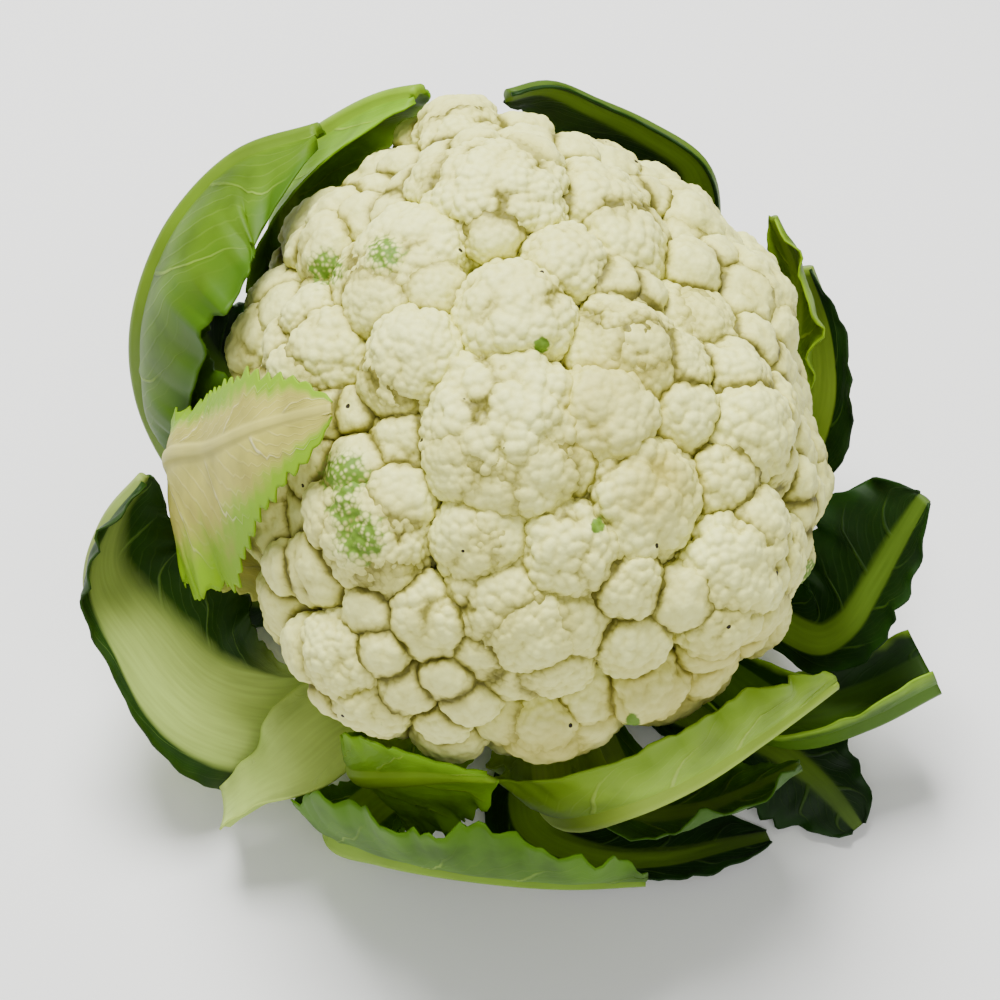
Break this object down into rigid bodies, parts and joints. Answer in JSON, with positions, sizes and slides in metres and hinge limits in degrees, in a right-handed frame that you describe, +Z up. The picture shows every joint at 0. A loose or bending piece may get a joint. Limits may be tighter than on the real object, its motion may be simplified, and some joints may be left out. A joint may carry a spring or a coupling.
{
  "type": "cauliflower",
  "caption": "Whole cauliflower: a domed white head of knobbly florets in a loose whorl of green wrapper leaves, standing on its flat cut stem.",
  "frame": {"origin": "centre of the stem's flat cut face, on the surface that the cauliflower stands on", "axes": "+Z up along the stem to the top of the head, -Y towards the fuller side of the head, +X to the right seen from that side"},
  "size_m": [0.2371, 0.223, 0.1818],
  "materials": {
    "curd": "matte ivory-white curd with fine grains; a living tissue, close to a matte plastic in look",
    "stem": "pale green stem with a whitish cut face",
    "stalk": "smooth pale green leaf stalk, slightly waxy",
    "leaf": "satin mid-green leaf with pale ribs and veins",
    "pale_leaf": "satin cream leaf with a yellow-green serrated edge",
    "dark_leaf": "satin dark green leaf with paler veins"
  },
  "bodies": {
    "root": {"curd": "curd", "stem": "stem", "leaf_upper_left": "leaf", "leaf_top_left": "leaf", "leaf_pale": "pale_leaf", "leaf_left": "leaf", "stalk_front_left": "stalk", "leaf_front": "leaf", "leaf_front_inner": "leaf", "leaf_front_right": "leaf", "leaf_low_right": "leaf", "leaf_floor_front": "dark_leaf", "leaf_floor_right": "dark_leaf", "stalk_right": "stalk", "leaf_right": "dark_leaf", "leaf_right_back": "dark_leaf", "leaf_right_inner": "leaf", "leaf_back_right": "dark_leaf", "leaf_back": "leaf", "leaf_back_left": "dark_leaf", "leaf_floor_left": "dark_leaf"}
  },
  "joints": []
}
